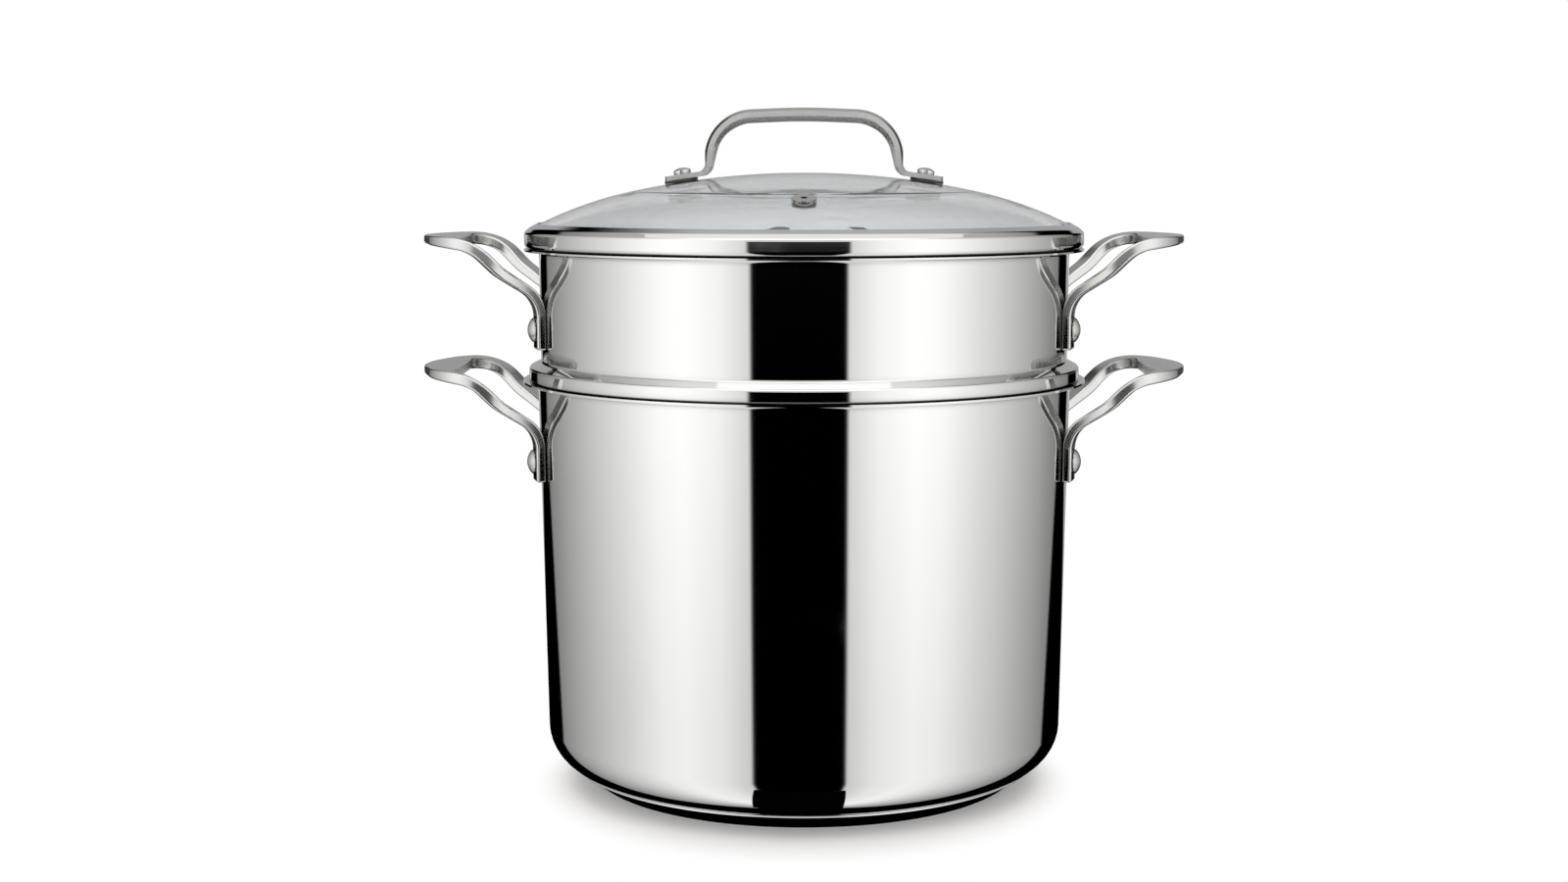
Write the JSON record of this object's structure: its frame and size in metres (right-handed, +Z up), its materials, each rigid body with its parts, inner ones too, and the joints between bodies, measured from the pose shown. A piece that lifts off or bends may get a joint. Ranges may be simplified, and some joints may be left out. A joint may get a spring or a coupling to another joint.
{
  "type": "steamer pot",
  "caption": "Tall steel stockpot with a steamer insert standing on its rim, side loop handles, and a domed glass lid with an arched strap handle.",
  "frame": {"origin": "centre of the base's flat underside, on the table", "axes": "+Z up along the pot's axis, +X through the right-hand side handles, +Y away from the front, where the lid's vent is"},
  "size_m": [0.3746, 0.2764, 0.3315],
  "materials": {
    "polished_steel": "mirror-polished stainless steel",
    "satin_steel": "satin stainless steel",
    "handle_steel": "cast and polished stainless steel with a satin sheen on the flats",
    "aluminium_core": "plain",
    "tempered_glass": "clear tempered glass",
    "silicone": "matte translucent silicone"
  },
  "bodies": {
    "pot": {"pot_body": "polished_steel", "base_core": "aluminium_core", "base_cap": "satin_steel", "pot_handle_left": "handle_steel", "pot_handle_right": "handle_steel", "pot_rivets_left": "handle_steel", "pot_rivets_right": "handle_steel"},
    "insert": {"insert_shell": "polished_steel", "insert_floor": "satin_steel", "insert_handle_left": "handle_steel", "insert_handle_right": "handle_steel", "insert_rivets_left": "handle_steel", "insert_rivets_right": "handle_steel"},
    "lid": {"lid_glass": "tempered_glass", "lid_band": "polished_steel", "lid_handle": "handle_steel", "lid_rivets": "handle_steel", "handle_pads": "silicone", "inner_pads": "silicone", "lid_washers": "satin_steel", "vent_eyelet": "handle_steel"}
  },
  "joints": [
    {"name": "insert_lift", "type": "slide", "parent": "pot", "child": "insert", "axis": [0, 0, 1], "range_m": [0, 0.06]},
    {"name": "lid_lift", "type": "slide", "parent": "insert", "child": "lid", "axis": [0, 0, 1], "range_m": [0, 0.03]}
  ]
}
